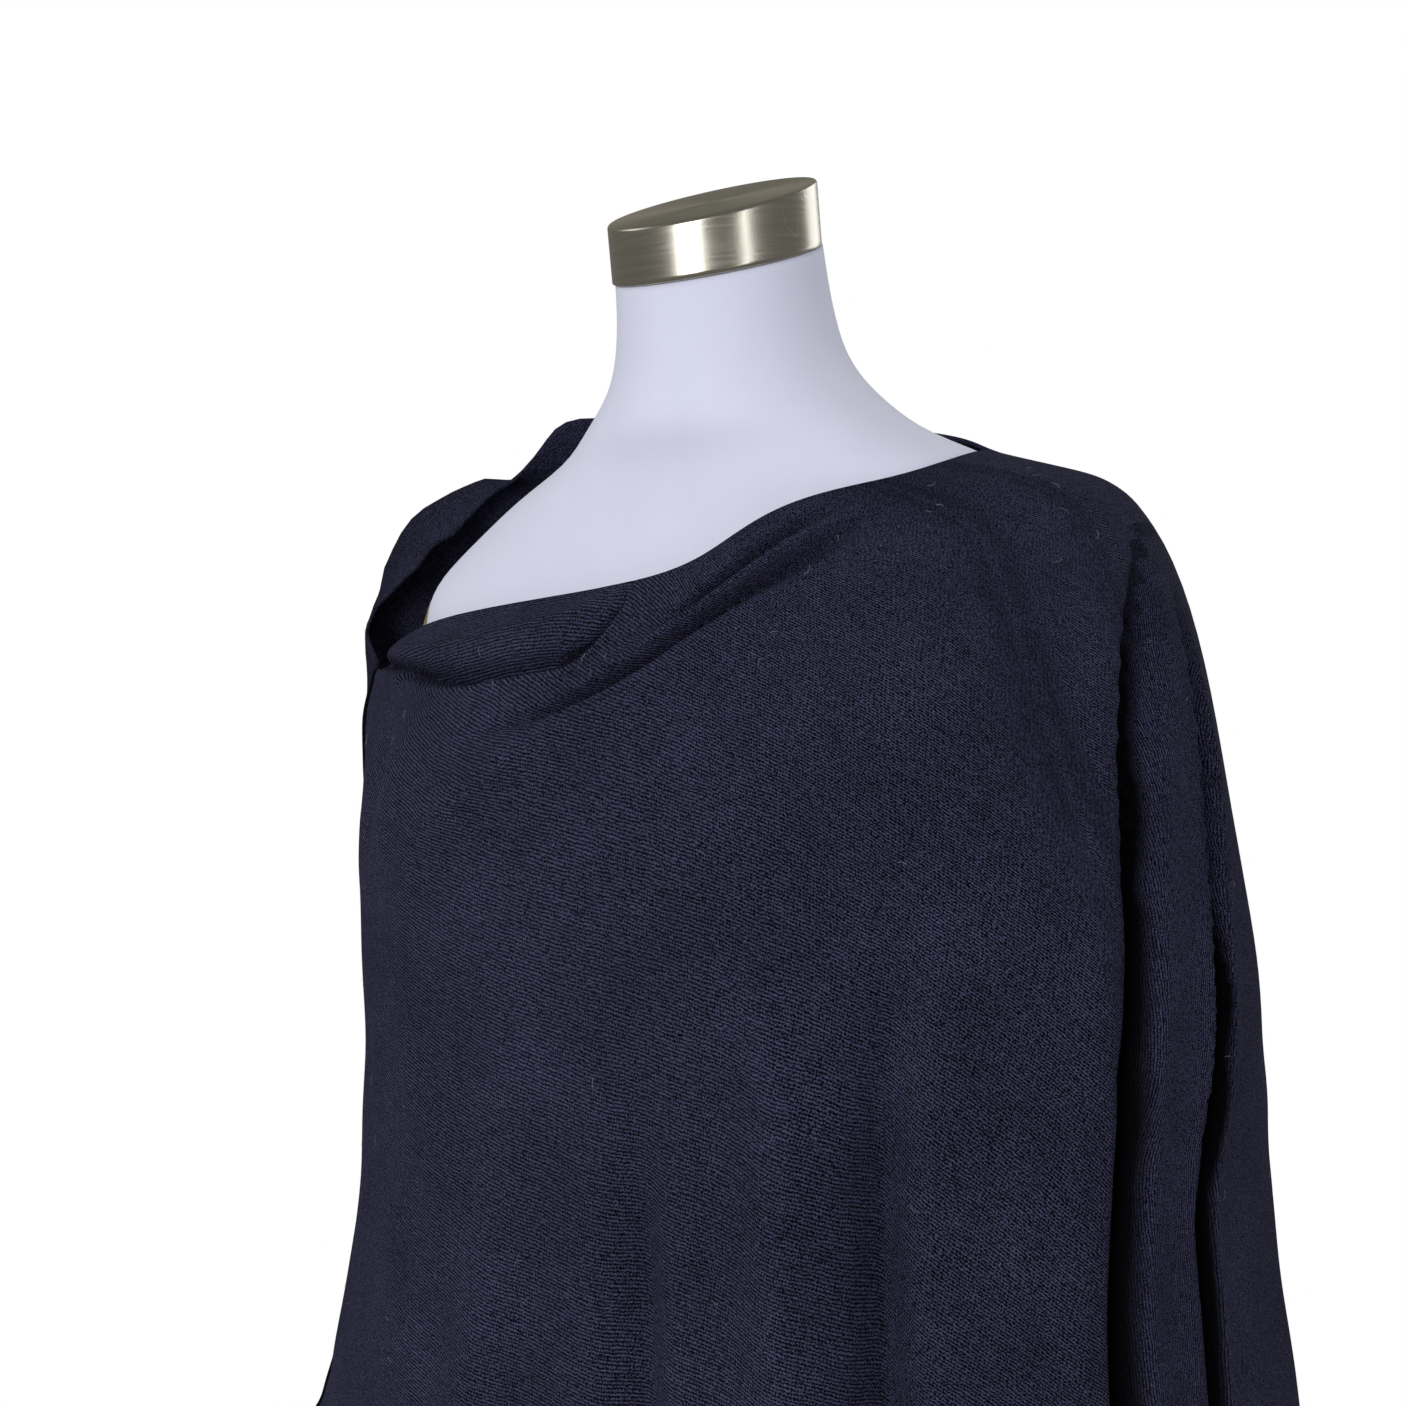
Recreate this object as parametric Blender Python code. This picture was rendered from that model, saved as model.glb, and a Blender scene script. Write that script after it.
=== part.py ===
"""A knitted poncho worn off-centre on a limbless dress form with a neck cap, a pole and a round base.

The poncho is one knitted rectangle folded in half. The fold runs down the form's left arm (+X), the one
seam runs down its right arm (-X) from the end of the neck slit, and the free corners hang as points at
the front and the back. Metres, +Z up, the form's front faces -Y, and the base rests on z = 0.

The cloth is laid out in two directions: an angle round the body in degrees, from the seam at -90 through
the front at 0, the fold at 90 and the back at 180 to the seam again at 270, and a distance down the cloth
from the neck edge. Rings across the body give its places, and a smooth curve runs down through them.
"""

import bpy
import numpy as np

# driving dimensions of the cloth
WALL = 0.0020
SEAM_WIDTH = 0.0060
SEAM_RISE = 0.00135
SEAM_RIDGE = 0.00225
SEAM_UNDER = 0.00080
SEAM_RIDGE_UNDER = 0.00135
GAP = 0.0003
SEAM_ANGLE = -90.0
FOLD_ANGLE = 90.0
FRONT_COLUMNS = 42
BACK_COLUMNS = 34
DOWN_ROWS = 27
FRONT_CROWDED = (-78.0, -10.0, 34.0, 60.0, 80.0)
BACK_CROWDED = (122.0, 176.0, 236.0, 262.0)
METRES_PER_DEGREE = 0.0037

# rings of the cloth: angle, x, y, z
NECK_EDGE = (
    (-90, -0.230, -0.015, 1.284), (-75, -0.190, -0.045, 1.299), (-60, -0.150, -0.072, 1.311),
    (-40, -0.085, -0.096, 1.321), (-20, -0.026, -0.105, 1.327), (0, 0.010, -0.106, 1.332),
    (20, 0.038, -0.104, 1.341), (40, 0.064, -0.092, 1.356), (60, 0.092, -0.067, 1.365),
    (75, 0.114, -0.042, 1.369), (90, 0.128, 0.000, 1.375), (107, 0.122, 0.040, 1.376),
    (130, 0.092, 0.076, 1.383), (155, 0.045, 0.090, 1.392), (180, -0.010, 0.098, 1.402),
    (203, -0.070, 0.098, 1.409), (219, -0.125, 0.087, 1.411), (226, -0.156, 0.082, 1.411),
    (232, -0.179, 0.081, 1.396), (239, -0.206, 0.077, 1.386), (247, -0.246, 0.070, 1.377),
    (254, -0.268, 0.052, 1.352), (260, -0.270, 0.030, 1.317), (266, -0.256, 0.004, 1.298),
    (270, -0.230, -0.015, 1.284),
)
SHOULDER_RING = (
    (-90, -0.240, -0.020, 1.256), (-60, -0.158, -0.088, 1.268), (-30, -0.074, -0.130, 1.282),
    (0, 0.002, -0.128, 1.295), (30, 0.064, -0.112, 1.316), (60, 0.130, -0.070, 1.342),
    (90, 0.171, 0.003, 1.363), (120, 0.148, 0.075, 1.354), (150, 0.080, 0.110, 1.357),
    (180, -0.005, 0.120, 1.362), (210, -0.085, 0.120, 1.352), (238, -0.175, 0.108, 1.330),
    (251, -0.238, 0.080, 1.308), (261, -0.262, 0.034, 1.278), (270, -0.240, -0.020, 1.256),
)
ARM_RING = (
    (-90, -0.242, -0.022, 1.222), (-60, -0.178, -0.095, 1.232), (-30, -0.094, -0.144, 1.240),
    (0, -0.002, -0.146, 1.250), (30, 0.083, -0.132, 1.268), (60, 0.160, -0.092, 1.293),
    (90, 0.204, 0.002, 1.328), (120, 0.190, 0.084, 1.312), (150, 0.105, 0.122, 1.306),
    (180, -0.005, 0.130, 1.298), (210, -0.105, 0.130, 1.290), (238, -0.200, 0.112, 1.270),
    (251, -0.243, 0.075, 1.250), (261, -0.254, 0.026, 1.232), (270, -0.242, -0.022, 1.222),
)
# outline of the hanging rings: angle, share of the reach to the side, share of the reach to front or back
BODY_OUTLINE = (
    (-90, -1.00, -0.10), (-60, -0.80, -0.54), (-30, -0.45, -0.88), (0, 0.00, -1.00), (30, 0.45, -0.93),
    (60, 0.82, -0.64), (90, 1.00, 0.00), (120, 0.88, 0.58), (150, 0.50, 0.92), (180, 0.00, 1.00),
    (210, -0.50, 0.90), (240, -0.84, 0.55), (256, -0.97, 0.22), (270, -1.00, -0.10),
)
# height of each hanging ring and its reach to the seam side, fold side, front and back
BODY_RINGS = (
    (1.170, 0.250, 0.241, 0.160, 0.140),
    (1.030, 0.264, 0.245, 0.174, 0.150),
    (0.900, 0.302, 0.252, 0.186, 0.165),
)
HEM_REACH = (0.360, 0.262, 0.205, 0.190)
# height of the hem: straight down to the cloth's free corners at the front and the back
HEM_HEIGHT = ((-90, 0.80), (-10, 0.50), (90, 0.75), (176, 0.51), (270, 0.80))
# distance down the cloth at which each ring lies
RING_DEPTHS = (0.0, 0.035, 0.085, 0.165, 0.305, 0.435, 0.750)

# folds: path of (angle, distance down), height of the fold (troughs are negative), half width, and the
# shares of the path over which it rises and dies away
FOLDS = (
    (((94, 0.084), (86, 0.108), (79, 0.132), (72.5, 0.165), (67.5, 0.26), (66, 0.37), (63, 0.75)),
     -0.018, 0.012, 0.10, 0),
    (((104, 0.100), (96, 0.136), (90, 0.170), (85, 0.24), (85, 0.40), (87, 0.75)), -0.010, 0.012, 0.10, 0),
    (((48, 0.140), (38, 0.180), (34, 0.250), (34, 0.340), (33, 0.40), (30, 0.75)), -0.011, 0.014, 0.25, 0),
    (((18, 0.150), (22, 0.220), (22, 0.300), (19, 0.75)), 0.008, 0.024, 0.20, 0),
    (((6, 0.190), (3, 0.280), (2, 0.360), (-2, 0.75)), -0.007, 0.015, 0.25, 0),
    (((-14, 0.250), (-22, 0.400), (-30, 0.75)), 0.006, 0.024, 0.30, 0),
    (((-84, 0.006), (-68, 0.010), (-40, 0.013), (-20, 0.012), (-7, 0.010)), 0.006, 0.010, 0.20, 0.15),
    (((-80, 0.010), (-53, 0.024), (-36, 0.028), (-20, 0.028), (-9, 0.022)), -0.009, 0.009, 0.20, 0.10),
    (((-34, 0.060), (-4, 0.045), (18, 0.030), (41, 0.0235), (62, 0.016), (80, 0.013)),
     -0.006, 0.009, 0.30, 0.35),
    (((-44, 0.122), (-20, 0.076), (-3, 0.058), (18, 0.047), (40, 0.036)), 0.006, 0.014, 0.30, 0.40),
    (((-66, 0.040), (-60, 0.090), (-60, 0.150)), -0.008, 0.022, 0.30, 0.30),
    (((118, 0.110), (124, 0.200), (126, 0.400), (128, 0.75)), -0.016, 0.015, 0.15, 0),
    (((146, 0.180), (150, 0.300), (152, 0.75)), 0.009, 0.024, 0.25, 0),
    (((172, 0.150), (176, 0.300), (178, 0.75)), -0.012, 0.018, 0.25, 0),
    (((205, 0.130), (208, 0.300), (206, 0.75)), -0.009, 0.018, 0.25, 0),
    (((238, 0.060), (236, 0.160), (236, 0.300), (238, 0.75)), -0.013, 0.016, 0.15, 0),
    (((205, 0.040), (222, 0.060), (240, 0.085)), -0.007, 0.012, 0.30, 0.30),
    (((238, 0.034), (246, 0.030), (253, 0.034)), -0.006, 0.012, 0.30, 0.30),
)
# how the back's neck edge rolls in toward the form from the crest: angle, x, y, z, and share of the roll
EDGE_ROLL = (
    (-90, 0, 0, 0, 0), (180, 0, 0, 0, 0), (227, 0, 0, 0, 0), (233, 0.003, -0.003, -0.004, 0.5),
    (240, 0.013, -0.012, -0.011, 1.0), (247, 0.030, -0.024, -0.026, 1.0), (254, 0.034, -0.016, -0.016, 1.0),
    (260, 0.011, -0.007, -0.002, 0.8), (266, 0.003, 0.001, 0.001, 0.4), (270, 0, 0, 0, 0),
)
ROLL_REACH = 0.030

# dress form: height, half width, half depth, middle's y, squareness of the section
FORM_SECTIONS = (
    (0.720, 0.180, 0.120, 0.010, 2.10), (0.820, 0.176, 0.118, 0.008, 2.10),
    (0.920, 0.152, 0.106, 0.006, 2.10), (1.000, 0.130, 0.094, 0.004, 2.10),
    (1.080, 0.148, 0.107, -0.002, 2.20), (1.165, 0.172, 0.124, -0.008, 2.30),
    (1.230, 0.186, 0.113, 0.002, 2.40), (1.290, 0.196, 0.101, 0.014, 2.40),
    (1.330, 0.189, 0.092, 0.018, 2.30), (1.350, 0.167, 0.082, 0.018, 2.10),
    (1.374, 0.128, 0.074, 0.015, 2.05), (1.388, 0.1005, 0.071, 0.011, 2.00),
    (1.402, 0.0815, 0.071, 0.0075, 2.00), (1.420, 0.0650, 0.066, 0.006, 2.00),
    (1.445, 0.0555, 0.060, 0.004, 2.00), (1.482, 0.0522, 0.0560, 0.002, 2.00),
)
FORM_TOP = 1.4805
FORM_ROWS = 46
FORM_COLUMNS = 40
CAP_RADIUS = 0.0530
CAP_DEPTH_SHARE = 1.05
CAP_BOTTOM = 1.4810
CAP_TOP = 1.5120
CAP_BOTTOM_TILT = 0.200
CAP_TOP_TILT = 0.255
CAP_ROUND = 0.0018
CAP_COLUMNS = 48
PLATE_CENTRE_HEIGHT = 1.268
PLATE_HALF_HEIGHT = 0.064
PLATE_HALF_SPAN = 26.0
PLATE_WALL = 0.0035
PLATE_CLEARANCE = 0.0009
PLATE_SPOKES = 28
PLATE_CIRCLES = ((0.001, 1.0), (0.35, 1.0), (0.70, 1.0), (0.93, 0.9), (1.0, 0.55))
POLE_RADIUS = 0.0125
COLLAR_RADIUS = 0.030
COLLAR_HEIGHT = 0.040
COLLAR_TAPER = 0.008
COLLAR_TAPER_HEIGHT = 0.010
SOCKET_RADIUS = 0.024
SOCKET_HEIGHT = 0.030
BASE_RADIUS = 0.170
BASE_HEIGHT = 0.010
BASE_BEVEL = 0.003

COLOURS = {
    "knit": ((0.0275, 0.0265, 0.0480), 0.95, 0.0),
    "jersey": ((0.800, 0.790, 0.830), 0.80, 0.0),
    "brushed_steel": ((0.520, 0.500, 0.440), 0.35, 1.0),
    "plate_metal": ((0.360, 0.310, 0.170), 0.45, 1.0),
    "steel": ((0.600, 0.600, 0.610), 0.30, 1.0),
}


def spline(keys, values, places):
    """Natural cubic spline through values, one for each key, read at every place."""
    keys = np.asarray(keys, float)
    values = np.asarray(values, float)
    wide = (1,) * (values.ndim - 1)
    step = np.diff(keys)
    slope = (values[1:] - values[:-1]) / step.reshape((-1,) + wide)
    system = np.eye(len(keys))
    inner = np.arange(1, len(keys) - 1)
    system[inner, inner - 1] = step[:-1]
    system[inner, inner] = 2.0 * (step[:-1] + step[1:])
    system[inner, inner + 1] = step[1:]
    right = np.zeros_like(values)
    right[1:-1] = 6.0 * (slope[1:] - slope[:-1])
    bend = np.linalg.solve(system, right.reshape(len(keys), -1)).reshape(values.shape)
    places = np.asarray(places, float)
    cell = np.clip(np.searchsorted(keys, places, side="right") - 1, 0, len(keys) - 2)
    width = step[cell].reshape((-1,) + wide)
    after = ((places - keys[cell]) / step[cell]).reshape((-1,) + wide)
    before = 1.0 - after
    bent = (before**3 - before) * bend[cell] + (after**3 - after) * bend[cell + 1]
    return before * values[cell] + after * values[cell + 1] + bent * width**2 / 6.0


def ring(table, angles):
    """The columns after the first of a ring's table, at these angles."""
    table = np.array(table, float)
    return spline(table[:, 0], table[:, 1:], angles)


def smooth_step(low, high, value):
    """0 below low, 1 above high, and a smooth rise between."""
    share = np.clip((value - low) / (high - low), 0.0, 1.0)
    return share * share * (3.0 - 2.0 * share)


def body_ring(outline, height, seam_side, fold_side, front, back):
    """A hanging ring: the outline stretched to its reach on each of the four sides."""
    x = outline[:, 0] * np.where(outline[:, 0] < 0.0, seam_side, fold_side)
    y = outline[:, 1] * np.where(outline[:, 1] < 0.0, front, back)
    return np.stack([x, y, np.broadcast_to(height, x.shape)], axis=-1)


def plain_cloth(angles, downs):
    """Unfolded cloth: rows down the cloth by columns round the body, as points."""
    outline = ring(BODY_OUTLINE, angles)
    rings = [ring(NECK_EDGE, angles), ring(SHOULDER_RING, angles), ring(ARM_RING, angles)]
    rings += [body_ring(outline, *sizes) for sizes in BODY_RINGS]
    rings.append(body_ring(outline, np.interp(angles, *zip(*HEM_HEIGHT)), *HEM_REACH))
    roll = np.array(EDGE_ROLL, float)
    roll = np.stack([np.interp(angles, roll[:, 0], column) for column in roll[:, 1:].T], axis=-1)
    near = np.clip(1.0 - downs / ROLL_REACH, 0.0, 1.0)[:, None, None] ** 2
    held = 1.0 - smooth_step(0.4 * ROLL_REACH, 1.8 * ROLL_REACH, downs)[:, None, None]
    plain = spline(RING_DEPTHS, np.array(rings), downs)
    return plain + held * roll[:, 3:] * (rings[0] - plain) + near * roll[:, :3]


def outward(points):
    """Unit normals of a grid of points, away from the body."""
    across = np.gradient(points, axis=1)
    down = np.gradient(points, axis=0)
    normal = np.cross(down, across)
    return normal / np.linalg.norm(normal, axis=-1, keepdims=True)


def fold_height(angles, downs):
    """Sum of the folds: each is a rounded ridge or trough along its path."""
    place = np.stack(np.meshgrid(angles * METRES_PER_DEGREE, downs), axis=-1)
    height = np.zeros(place.shape[:2])
    for path, rise, width, grow, end_share in FOLDS:
        path = np.array(path, float) * (METRES_PER_DEGREE, 1.0)
        nearest = np.full(height.shape, np.inf)
        along = np.zeros(height.shape)
        run = 0.0
        for start, end in zip(path[:-1], path[1:]):
            length = np.linalg.norm(end - start)
            share = np.clip((place - start) @ (end - start) / length**2, 0.0, 1.0)
            distance = np.linalg.norm(place - start - share[..., None] * (end - start), axis=-1)
            closer = distance < nearest
            nearest = np.where(closer, distance, nearest)
            along = np.where(closer, run + share * length, along)
            run += length
        fade = smooth_step(0.0, grow, along / run)
        if end_share:
            fade = fade * (1.0 - smooth_step(1.0 - end_share, 1.0, along / run))
        height += rise * fade * np.exp(-((nearest / width) ** 2))
    return height


def cloth(angles, downs):
    """Points and outward normals of the middle of the folded cloth."""
    plain = plain_cloth(angles, downs)
    points = plain + outward(plain) * fold_height(angles, downs)[..., None]
    return points, outward(points)


def closed_wall(name, outer, inner):
    """A solid between two grids of points with the same rows and columns."""
    rows, columns = outer.shape[:2]
    vertices = np.concatenate([outer.reshape(-1, 3), inner.reshape(-1, 3)])
    number = np.arange(rows * columns).reshape(rows, columns)
    far = number + rows * columns
    faces = np.stack([number[:-1, :-1], number[1:, :-1], number[1:, 1:], number[:-1, 1:]], -1).reshape(-1, 4)
    under = np.stack([far[:-1, :-1], far[:-1, 1:], far[1:, 1:], far[1:, :-1]], -1).reshape(-1, 4)
    edge = np.concatenate([number[0], number[1:, -1], number[-1, -2::-1], number[-2:0:-1, 0]])
    onward = np.roll(edge, -1)
    rim = np.stack([edge, onward, onward + rows * columns, edge + rows * columns], -1)
    return solid(name, vertices, np.concatenate([faces, under, rim]))


def stacked_rings(name, rings):
    """A solid with closed rings of points for its sides and a flat face at each end."""
    rings = np.array(rings)
    rows, columns = rings.shape[:2]
    number = np.arange(rows * columns).reshape(rows, columns)
    onward = np.roll(number, -1, axis=1)
    sides = np.stack([number[:-1], onward[:-1], onward[1:], number[1:]], -1).reshape(-1, 4)
    ends = [number[0, ::-1].tolist(), number[-1].tolist()]
    return solid(name, rings.reshape(-1, 3), sides.tolist() + ends)


def solid(name, vertices, faces):
    """A named object from points and faces, turned outward."""
    mesh = bpy.data.meshes.new(name)
    mesh.from_pydata(np.asarray(vertices).tolist(), [], [list(map(int, face)) for face in faces])
    mesh.update()
    built = bpy.data.objects.new(name, mesh)
    bpy.context.scene.collection.objects.link(built)
    bpy.context.view_layer.objects.active = built
    built.select_set(True)
    bpy.ops.object.mode_set(mode="EDIT")
    bpy.ops.mesh.select_all(action="SELECT")
    bpy.ops.mesh.normals_make_consistent(inside=False)
    bpy.ops.object.mode_set(mode="OBJECT")
    built.select_set(False)
    return built


def finish(built, slot):
    """Give a part its own material in the slot's colour."""
    colour, roughness, metallic = COLOURS[slot]
    material = bpy.data.materials.new(built.name + "_" + slot)
    material.use_nodes = True
    shader = material.node_tree.nodes["Principled BSDF"]
    shader.inputs["Base Color"].default_value = (*colour, 1.0)
    shader.inputs["Roughness"].default_value = roughness
    shader.inputs["Metallic"].default_value = metallic
    built.data.materials.append(material)
    return built


def down_places():
    """Distances down the cloth, closer together near the neck edge."""
    share = np.linspace(0.0, 1.0, DOWN_ROWS)
    return RING_DEPTHS[-1] * (0.42 * share + 0.58 * share**2)


def half_angles(first, last, count, crowded):
    """Angles from first to last that lie closer together near the crowded ones."""
    fine = np.linspace(first, last, 2000)
    weight = 1.0 + sum(3.0 * np.exp(-(((fine - centre) / 6.0) ** 2)) for centre in crowded)
    total = np.cumsum(weight)
    total = (total - total[0]) / (total[-1] - total[0])
    return np.interp(np.linspace(0.0, 1.0, count), total, fine)


def cloth_grid():
    """Points and normals of the whole cloth, and the number of the column at the fold."""
    front = half_angles(SEAM_ANGLE, FOLD_ANGLE, FRONT_COLUMNS, FRONT_CROWDED)
    back = half_angles(FOLD_ANGLE, SEAM_ANGLE + 360.0, BACK_COLUMNS, BACK_CROWDED)
    points, normals = cloth(np.concatenate([front, back[1:]]), down_places())
    return points, normals, FRONT_COLUMNS - 1


def toward(points, edge, inner, distance):
    """Steps of one distance from an edge column toward its neighbour."""
    way = points[:, inner] - points[:, edge]
    return way * distance / np.linalg.norm(way, axis=-1, keepdims=True)


def cloth_half(name, points, normals, held_back):
    """One half of the folded panel, its two side edges held back by these distances."""
    points = points.copy()
    for edge, inner, distance in ((0, 1, held_back[0]), (-1, -2, held_back[1])):
        points[:, edge] += toward(points, edge, inner, distance)
    return closed_wall(name, points + normals * WALL / 2.0, points - normals * WALL / 2.0)


def side_seam(points, normals):
    """The raised strip that joins the halves, from the end of the neck slit to the hem."""
    reach = SEAM_WIDTH / 2.0 - GAP
    middle = points[:, 0]
    to_front = toward(points, 0, 1, reach)
    to_back = toward(points, -1, -2, reach)
    ridge = normals[:, 0] + normals[:, -1]
    ridge /= np.linalg.norm(ridge, axis=-1, keepdims=True)
    rim = (
        (to_front, normals[:, 0], SEAM_RISE, SEAM_UNDER),
        (0.0, ridge, SEAM_RIDGE, SEAM_RIDGE_UNDER),
        (to_back, normals[:, -1], SEAM_RISE, SEAM_UNDER),
    )
    outer = np.stack([middle + way + normal * rise for way, normal, rise, drop in rim], 1)
    under = np.stack([middle + way - normal * drop for way, normal, rise, drop in rim], 1)
    return closed_wall("side_seam", outer, under)


def form_section(height, angles):
    """Points round the dress form at one height; angle 0 is the front and 90 is its left side."""
    table = np.array(FORM_SECTIONS)
    half_width, half_depth, middle, square = spline(table[:, 0], table[:, 1:], [height])[0]
    across = np.sin(np.radians(angles))
    along = -np.cos(np.radians(angles))
    reach = (np.abs(across) ** square + np.abs(along) ** square) ** (-1.0 / square)
    x = half_width * across * reach
    y = middle + half_depth * along * reach
    return np.stack([x, y, np.full_like(x, height)], axis=-1)


def torso():
    heights = np.linspace(FORM_SECTIONS[0][0], FORM_TOP, FORM_ROWS)
    angles = np.arange(FORM_COLUMNS) * 360.0 / FORM_COLUMNS
    rings = [form_section(height, angles) for height in heights]
    neck_top = rings[-1]
    neck_top[:, 2] += CAP_BOTTOM_TILT * neck_top[:, 1]
    return stacked_rings("form_torso", rings)


def neck_cap():
    """An oval metal cap whose top slopes down to the front more than its bottom does."""
    angles = np.radians(np.arange(CAP_COLUMNS) * 360.0 / CAP_COLUMNS)
    across = np.sin(angles)
    along = -CAP_DEPTH_SHARE * np.cos(angles)

    def level(radius, height, tilt):
        y = radius * along
        return np.stack([radius * across, y, height + tilt * y], axis=-1)

    rings = [
        level(CAP_RADIUS, CAP_BOTTOM, CAP_BOTTOM_TILT),
        level(CAP_RADIUS, CAP_TOP - CAP_ROUND, CAP_TOP_TILT),
        level(CAP_RADIUS - 0.3 * CAP_ROUND, CAP_TOP - 0.3 * CAP_ROUND, CAP_TOP_TILT),
        level(CAP_RADIUS - CAP_ROUND, CAP_TOP, CAP_TOP_TILT),
    ]
    return stacked_rings("neck_cap", rings)


def shoulder_plate(name, side_angle):
    """A thin oval plate that lies on the form's side, where an arm would start."""
    spokes = np.radians(np.arange(PLATE_SPOKES) * 360.0 / PLATE_SPOKES)

    def lay(circle, rise):
        heights = PLATE_CENTRE_HEIGHT + PLATE_HALF_HEIGHT * circle * np.sin(spokes)
        turned = side_angle + PLATE_HALF_SPAN * circle * np.cos(spokes)
        points = np.array([form_section(z, np.array([a]))[0] for z, a in zip(heights, turned)])
        away = np.stack([np.sin(np.radians(turned)), -np.cos(np.radians(turned)), 0.0 * turned], -1)
        return points + away * (PLATE_CLEARANCE + rise * PLATE_WALL)

    over = [lay(circle, rise) for circle, rise in PLATE_CIRCLES]
    under = [lay(circle, 0.0) for circle, rise in reversed(PLATE_CIRCLES)]
    return stacked_rings(name, over + under)


def turned(name, profile, columns=48):
    """A solid of revolution about the pole's axis, from points of radius and height."""
    angles = np.radians(np.arange(columns) * 360.0 / columns)
    circle = np.stack([np.cos(angles), np.sin(angles), 0.0 * angles], axis=-1)
    return stacked_rings(name, [circle * radius + (0.0, 0.0, height) for radius, height in profile])


def stand():
    """Base plate with the pole's socket, the pole, and the collar under the form."""
    rim = BASE_RADIUS - BASE_BEVEL
    socket_top = BASE_HEIGHT + SOCKET_HEIGHT
    base = turned("base_plate", (
        (rim, 0.0), (BASE_RADIUS, BASE_BEVEL), (BASE_RADIUS, BASE_HEIGHT - BASE_BEVEL), (rim, BASE_HEIGHT),
        (SOCKET_RADIUS, BASE_HEIGHT), (SOCKET_RADIUS - BASE_BEVEL, socket_top),
    ), 64)
    collar_bottom = FORM_SECTIONS[0][0] - COLLAR_HEIGHT
    pole = turned("pole", ((POLE_RADIUS, socket_top + GAP), (POLE_RADIUS, collar_bottom - GAP)), 32)
    collar = turned("pole_collar", (
        (COLLAR_RADIUS - COLLAR_TAPER, collar_bottom), (COLLAR_RADIUS, collar_bottom + COLLAR_TAPER_HEIGHT),
        (COLLAR_RADIUS, FORM_SECTIONS[0][0] - GAP),
    ))
    return base, pole, collar


def main():
    for old in list(bpy.data.objects):
        bpy.data.objects.remove(old, do_unlink=True)
    points, normals, fold = cloth_grid()
    at_seam = SEAM_WIDTH / 2.0
    at_fold = GAP / 2.0
    finish(cloth_half("front_half", points[:, :fold + 1], normals[:, :fold + 1], (at_seam, at_fold)), "knit")
    finish(cloth_half("back_half", points[:, fold:], normals[:, fold:], (at_fold, at_seam)), "knit")
    finish(side_seam(points, normals), "knit")
    finish(torso(), "jersey")
    finish(neck_cap(), "brushed_steel")
    finish(shoulder_plate("left_shoulder_plate", 90.0), "plate_metal")
    finish(shoulder_plate("right_shoulder_plate", 270.0), "plate_metal")
    for piece in stand():
        finish(piece, "steel")


main()
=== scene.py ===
"""The looks of a knitted poncho worn off-centre on a limbless dress form.

The cloth is laid out in two directions: an angle round the body in degrees, from the seam at -90 through
the front at 0, the fold at 90 and the back at 180 to the seam again at 270, and a distance down the cloth
from the neck edge. Rings across the body give its places, a smooth curve runs down through them, and
folds are rounded ridges and troughs laid along paths of angle and distance.
"""

import math

import bpy
import numpy as np
from mathutils import Matrix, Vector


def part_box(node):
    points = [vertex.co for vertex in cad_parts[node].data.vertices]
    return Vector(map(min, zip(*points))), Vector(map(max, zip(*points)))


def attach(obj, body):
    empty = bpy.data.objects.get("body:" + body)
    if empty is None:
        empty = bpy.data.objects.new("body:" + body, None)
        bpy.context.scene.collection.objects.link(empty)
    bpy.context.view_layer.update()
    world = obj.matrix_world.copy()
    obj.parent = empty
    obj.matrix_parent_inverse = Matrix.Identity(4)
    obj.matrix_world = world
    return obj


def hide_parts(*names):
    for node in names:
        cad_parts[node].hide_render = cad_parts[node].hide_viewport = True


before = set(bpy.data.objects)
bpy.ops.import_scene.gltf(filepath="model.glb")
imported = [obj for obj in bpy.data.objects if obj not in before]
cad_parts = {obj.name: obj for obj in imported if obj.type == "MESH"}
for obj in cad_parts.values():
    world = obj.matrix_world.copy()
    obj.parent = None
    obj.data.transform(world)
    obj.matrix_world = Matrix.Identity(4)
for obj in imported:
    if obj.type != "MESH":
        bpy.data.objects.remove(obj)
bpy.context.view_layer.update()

# ---------------------------------------------------------------- sizes

WALL = 0.0020
SEAM_WIDTH = 0.0060
GAP = 0.0003
SEAM_ANGLE = -90.0
METRES_PER_DEGREE = 0.0037
COLUMNS = 330
FRONT_COLUMNS = 232
ROWS = 148

# rings of the cloth: angle, x, y, z
NECK_EDGE = (
    (-90, -0.230, -0.015, 1.284), (-75, -0.190, -0.045, 1.299), (-60, -0.150, -0.072, 1.311),
    (-40, -0.085, -0.096, 1.321), (-20, -0.026, -0.105, 1.327), (0, 0.010, -0.106, 1.332),
    (20, 0.038, -0.104, 1.341), (40, 0.064, -0.092, 1.356), (60, 0.092, -0.067, 1.365),
    (75, 0.114, -0.042, 1.369), (90, 0.128, 0.000, 1.375), (107, 0.122, 0.040, 1.376),
    (130, 0.092, 0.076, 1.383), (155, 0.045, 0.090, 1.392), (180, -0.010, 0.098, 1.402),
    (203, -0.070, 0.098, 1.409), (219, -0.125, 0.087, 1.411), (226, -0.156, 0.082, 1.411),
    (232, -0.179, 0.081, 1.396), (239, -0.206, 0.077, 1.386), (247, -0.246, 0.070, 1.377),
    (254, -0.268, 0.052, 1.352), (260, -0.270, 0.030, 1.317), (266, -0.256, 0.004, 1.298),
    (270, -0.230, -0.015, 1.284),
)
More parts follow.
